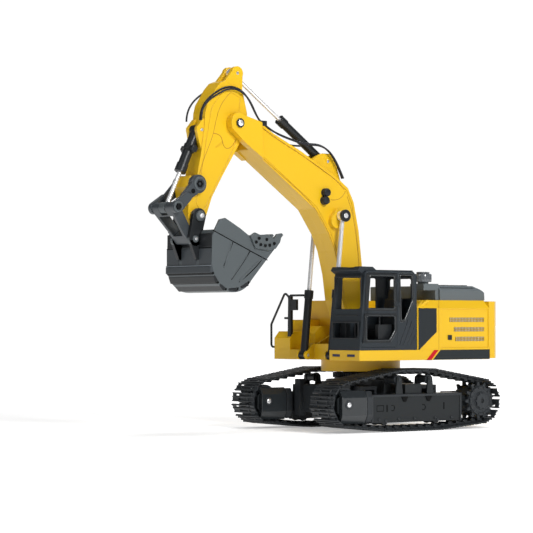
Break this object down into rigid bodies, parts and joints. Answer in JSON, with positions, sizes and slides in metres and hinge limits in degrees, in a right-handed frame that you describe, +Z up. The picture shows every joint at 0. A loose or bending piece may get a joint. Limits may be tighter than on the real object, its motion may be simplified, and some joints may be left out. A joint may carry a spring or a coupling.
{
  "type": "toy excavator",
  "caption": "Tracked toy excavator with slewing house, open cab, gooseneck boom, stick, curling bucket, plated cylinder rods and linked track chains.",
  "frame": {"origin": "on the ground, midway between the idler and sprocket axles on the middle plane", "axes": "+X forward towards the boom, +Y towards the cab side, +Z up"},
  "size_m": [0.4214, 0.1769, 0.3854],
  "materials": {
    "yellow_paint": "satin moulded yellow plastic",
    "cab_grey": "satin dark grey plastic",
    "black_plastic": "satin black plastic",
    "track_black": "matte charcoal plastic",
    "bucket_grey": "satin slate grey plastic",
    "chrome_rod": "polished plated rod",
    "steel_pin": "plated steel pin",
    "hose_rubber": "black rubber hose",
    "gear_nylon": "white nylon gear",
    "board_green": "circuit board",
    "cell_blue": "shrink-wrapped cells"
  },
  "bodies": {
    "undercarriage": {"x_frame": "track_black", "slew_ring_gear": "black_plastic", "travel_gearboxes": "black_plastic", "track_frame_left": "track_black", "track_frame_right": "track_black", "track_chain_left": "track_black", "track_chain_right": "track_black"},
    "house": {"house_deck": "yellow_paint", "centre_frame": "yellow_paint", "house_pins": "steel_pin", "left_housing": "yellow_paint", "right_housing": "yellow_paint", "right_front_box": "yellow_paint", "engine_hood": "cab_grey", "air_cleaner": "cab_grey", "counterweight": "yellow_paint", "cab_shell": "cab_grey", "cab_roof": "cab_grey", "cab_seat": "black_plastic", "handrail": "black_plastic", "battery_pack": "cell_blue", "control_board": "board_green", "speaker": "black_plastic", "slew_motor": "black_plastic", "boom_gear_unit": "black_plastic", "house_screws": "steel_pin"},
    "cab_door": {"cab_door": "cab_grey"},
    "slew_pinion": {"slew_pinion": "gear_nylon"},
    "power_switch": {"power_switch": "black_plastic"},
    "boom": {"boom_shell_left": "yellow_paint", "boom_shell_right": "yellow_paint", "boom_pins": "steel_pin", "boom_lamps": "black_plastic", "boom_hoses": "hose_rubber"},
    "lift_barrels": {"boom_cylinder_barrels": "black_plastic"},
    "lift_rods": {"boom_cylinder_rods": "chrome_rod"},
    "arm_barrel": {"arm_cylinder_barrel": "black_plastic"},
    "arm_rod": {"arm_cylinder_rod": "chrome_rod"},
    "stick": {"stick_shell_left": "yellow_paint", "stick_shell_right": "yellow_paint", "stick_pins": "steel_pin", "stick_hoses": "hose_rubber"},
    "bucket_barrel": {"bucket_cylinder_barrel": "black_plastic"},
    "bucket_rod": {"bucket_cylinder_rod": "chrome_rod"},
    "rocker": {"rocker": "bucket_grey"},
    "h_link": {"h_link": "bucket_grey"},
    "bucket": {"bucket": "bucket_grey", "bucket_teeth": "bucket_grey"},
    "sprocket_left": {"sprocket_left": "track_black"},
    "idler_left": {"idler_left": "track_black"},
    "carrier_roller_left_front": {"carrier_roller_left_front": "track_black"},
    "bottom_roller_left_front": {"bottom_roller_left_front": "track_black"},
    "carrier_roller_left_rear": {"carrier_roller_left_rear": "track_black"},
    "bottom_roller_left_rear": {"bottom_roller_left_rear": "track_black"},
    "sprocket_right": {"sprocket_right": "track_black"},
    "idler_right": {"idler_right": "track_black"},
    "carrier_roller_right_front": {"carrier_roller_right_front": "track_black"},
    "bottom_roller_right_front": {"bottom_roller_right_front": "track_black"},
    "carrier_roller_right_rear": {"carrier_roller_right_rear": "track_black"},
    "bottom_roller_right_rear": {"bottom_roller_right_rear": "track_black"}
  },
  "joints": [
    {"name": "slew", "type": "hinge", "parent": "undercarriage", "child": "house", "pos_m": [0.008, 0, 0.07], "axis": [0, 0, 1], "range_deg": [-175, 175]},
    {"name": "pinion_spin", "type": "hinge", "parent": "house", "child": "slew_pinion", "pos_m": [-0.028, 0, 0.06], "axis": [0, 0, 1], "continuous": true},
    {"name": "boom_lift", "type": "hinge", "parent": "house", "child": "boom", "pos_m": [0.022, 0, 0.101], "axis": [0, -1, 0], "range_deg": [-35, 8]},
    {"name": "lift_barrels_tilt", "type": "hinge", "parent": "house", "child": "lift_barrels", "pos_m": [0.069, 0, 0.0805], "axis": [0, -1, 0], "range_deg": [-40, 15]},
    {"name": "lift_rods_slide", "type": "slide", "parent": "lift_barrels", "child": "lift_rods", "axis": [-0.1022, 0, 0.9948], "range_m": [-0.036, 0.012]},
    {"name": "stick_swing", "type": "hinge", "parent": "boom", "child": "stick", "pos_m": [0.19, 0, 0.3245], "axis": [0, -1, 0], "range_deg": [-12, 38], "deforming": ["stick_hoses"]},
    {"name": "arm_barrel_tilt", "type": "hinge", "parent": "boom", "child": "arm_barrel", "pos_m": [0.062, 0, 0.2905], "axis": [0, -1, 0], "range_deg": [-4, 8]},
    {"name": "arm_rod_slide", "type": "slide", "parent": "arm_barrel", "child": "arm_rod", "axis": [0.8149, 0, 0.5797], "range_m": [-0.045, 0.015]},
    {"name": "bucket_curl", "type": "hinge", "parent": "stick", "child": "bucket", "pos_m": [0.2405, 0, 0.226], "axis": [0, -1, 0], "range_deg": [-10, 70]},
    {"name": "rocker_swing", "type": "hinge", "parent": "stick", "child": "rocker", "pos_m": [0.241, 0, 0.259], "axis": [0, -1, 0], "range_deg": [-10, 60]},
    {"name": "h_link_swing", "type": "hinge", "parent": "rocker", "child": "h_link", "pos_m": [0.271, 0, 0.2343], "axis": [0, -1, 0], "range_deg": [-35, 10]},
    {"name": "bucket_barrel_tilt", "type": "hinge", "parent": "stick", "child": "bucket_barrel", "pos_m": [0.232, 0, 0.316], "axis": [0, -1, 0], "range_deg": [-5, 22]},
    {"name": "bucket_rod_slide", "type": "slide", "parent": "bucket_barrel", "child": "bucket_rod", "axis": [0.4308, 0, -0.9025], "range_m": [-0.022, 0.005]},
    {"name": "cab_door_swing", "type": "hinge", "parent": "house", "child": "cab_door", "pos_m": [0.025, 0.0793, 0.148], "axis": [0, 0, 1], "range_deg": [0, 85]},
    {"name": "power_switch_slide", "type": "slide", "parent": "house", "child": "power_switch", "axis": [1, 0, 0], "range_m": [0, 0.004]},
    {"name": "sprocket_left_spin", "type": "hinge", "parent": "undercarriage", "child": "sprocket_left", "pos_m": [-0.096, 0.068, 0.03], "axis": [0, 1, 0], "continuous": true},
    {"name": "idler_left_spin", "type": "hinge", "parent": "undercarriage", "child": "idler_left", "pos_m": [0.096, 0.068, 0.03], "axis": [0, 1, 0], "continuous": true},
    {"name": "carrier_roller_left_front_spin", "type": "hinge", "parent": "undercarriage", "child": "carrier_roller_left_front", "pos_m": [0.021, 0.068, 0.055], "axis": [0, 1, 0], "continuous": true},
    {"name": "bottom_roller_left_front_spin", "type": "hinge", "parent": "undercarriage", "child": "bottom_roller_left_front", "pos_m": [0.04, 0.068, 0.0112], "axis": [0, 1, 0], "continuous": true},
    {"name": "carrier_roller_left_rear_spin", "type": "hinge", "parent": "undercarriage", "child": "carrier_roller_left_rear", "pos_m": [-0.0235, 0.068, 0.055], "axis": [0, 1, 0], "continuous": true},
    {"name": "bottom_roller_left_rear_spin", "type": "hinge", "parent": "undercarriage", "child": "bottom_roller_left_rear", "pos_m": [-0.034, 0.068, 0.0112], "axis": [0, 1, 0], "continuous": true},
    {"name": "sprocket_right_spin", "type": "hinge", "parent": "undercarriage", "child": "sprocket_right", "pos_m": [-0.096, -0.068, 0.03], "axis": [0, 1, 0], "continuous": true},
    {"name": "idler_right_spin", "type": "hinge", "parent": "undercarriage", "child": "idler_right", "pos_m": [0.096, -0.068, 0.03], "axis": [0, 1, 0], "continuous": true},
    {"name": "carrier_roller_right_front_spin", "type": "hinge", "parent": "undercarriage", "child": "carrier_roller_right_front", "pos_m": [0.021, -0.068, 0.055], "axis": [0, 1, 0], "continuous": true},
    {"name": "bottom_roller_right_front_spin", "type": "hinge", "parent": "undercarriage", "child": "bottom_roller_right_front", "pos_m": [0.04, -0.068, 0.0112], "axis": [0, 1, 0], "continuous": true},
    {"name": "carrier_roller_right_rear_spin", "type": "hinge", "parent": "undercarriage", "child": "carrier_roller_right_rear", "pos_m": [-0.0235, -0.068, 0.055], "axis": [0, 1, 0], "continuous": true},
    {"name": "bottom_roller_right_rear_spin", "type": "hinge", "parent": "undercarriage", "child": "bottom_roller_right_rear", "pos_m": [-0.034, -0.068, 0.0112], "axis": [0, 1, 0], "continuous": true}
  ],
  "couplings": [
    {"joint": "pinion_spin", "follows": "slew", "ratio": 5},
    {"joint": "lift_barrels_tilt", "follows": "boom_lift", "ratio": 0.888},
    {"joint": "lift_rods_slide", "follows": "boom_lift", "m_per_rad": 0.0483},
    {"joint": "arm_barrel_tilt", "follows": "stick_swing", "ratio": 0.115},
    {"joint": "arm_rod_slide", "follows": "stick_swing", "m_per_rad": -0.0506},
    {"joint": "rocker_swing", "follows": "bucket_curl", "ratio": 0.603},
    {"joint": "h_link_swing", "follows": "bucket_curl", "ratio": -0.361},
    {"joint": "bucket_barrel_tilt", "follows": "bucket_curl", "ratio": 0.221},
    {"joint": "bucket_rod_slide", "follows": "bucket_curl", "m_per_rad": -0.0141}
  ]
}
